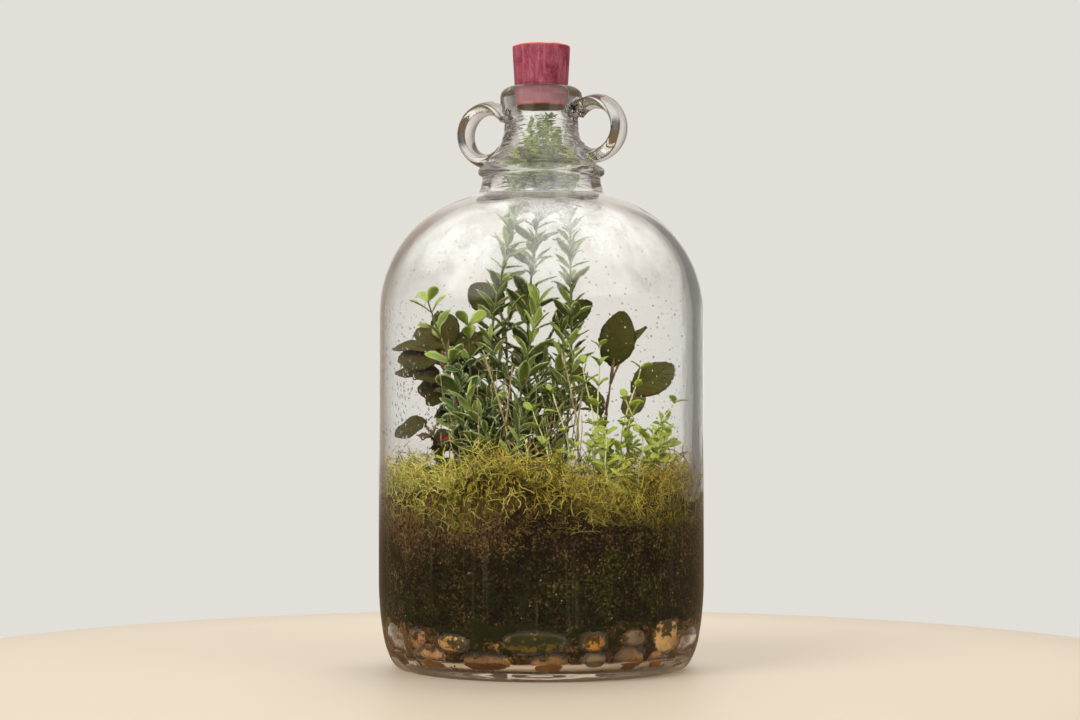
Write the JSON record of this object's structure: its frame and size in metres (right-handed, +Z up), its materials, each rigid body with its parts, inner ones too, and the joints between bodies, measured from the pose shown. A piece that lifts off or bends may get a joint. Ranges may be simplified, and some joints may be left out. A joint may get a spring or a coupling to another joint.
{
  "type": "bottle garden",
  "caption": "Clear glass demijohn with ring handles and a rubber stopper, planted over pebbles, soil and moss with leafy stems.",
  "frame": {"origin": "centre of the bottle's foot, on the plane that it stands on", "axes": "+Z up along the bottle's axis; the two ring handles lie along X; the picture looks at the side that is turned 28 degrees from -Y towards +X"},
  "size_m": [0.169, 0.169, 0.3234],
  "materials": {
    "glass": "clear, slightly uneven old moulded glass",
    "rubber": "dusty matte red",
    "stone_brown": "wet water-worn pebble",
    "stone_tan": "wet water-worn pebble",
    "stone_grey": "wet water-worn pebble",
    "stone_orange": "wet water-worn pebble",
    "stone_cream": "wet water-worn pebble",
    "stone_pink": "wet water-worn pebble",
    "stone_olive": "pebble coated with green algae",
    "soil": "moist dark potting compost with algae at the glass",
    "moss": "feathery yellow-green moss",
    "nerve_leaf": "dark olive leaf with red veins",
    "straw": "dry bare stalk",
    "shrub_leaf": "satin green leaf with a pale margin",
    "seedling_leaf": "fresh yellow-green leaf"
  },
  "bodies": {
    "root": {"bottle_glass": "glass", "stopper": "rubber", "pebble_01": "stone_brown", "pebble_02": "stone_tan", "pebble_03": "stone_brown", "pebble_04": "stone_tan", "pebble_05": "stone_grey", "pebble_06": "stone_brown", "pebble_07": "stone_orange", "pebble_08": "stone_tan", "pebble_09": "stone_grey", "pebble_10": "stone_tan", "pebble_11": "stone_brown", "pebble_12": "stone_grey", "pebble_13": "stone_tan", "pebble_14": "stone_brown", "pebble_15": "stone_grey", "pebble_16": "stone_tan", "pebble_17": "stone_brown", "pebble_18": "stone_cream", "pebble_19": "stone_pink", "pebble_20": "stone_olive", "pebble_21": "stone_orange", "pebble_22": "stone_grey", "pebble_23": "stone_cream", "pebble_bed": "stone_brown", "soil": "soil", "moss": "moss", "nerve_plant_01": "nerve_leaf", "nerve_plant_02": "nerve_leaf", "nerve_plant_03": "nerve_leaf", "nerve_plant_04": "nerve_leaf", "nerve_plant_05": "nerve_leaf", "nerve_plant_06": "nerve_leaf", "dry_stalk_01": "straw", "dry_stalk_02": "straw", "shrub_01": "shrub_leaf", "shrub_02": "shrub_leaf", "shrub_03": "shrub_leaf", "shrub_04": "shrub_leaf", "shrub_05": "shrub_leaf", "shrub_06": "shrub_leaf", "shrub_07": "shrub_leaf", "shrub_08": "shrub_leaf", "seedling_01": "seedling_leaf", "seedling_02": "seedling_leaf", "seedling_03": "seedling_leaf", "seedling_04": "seedling_leaf", "seedling_05": "seedling_leaf", "seedling_06": "seedling_leaf", "seedling_07": "seedling_leaf", "seedling_08": "seedling_leaf", "seedling_09": "seedling_leaf"}
  },
  "joints": []
}
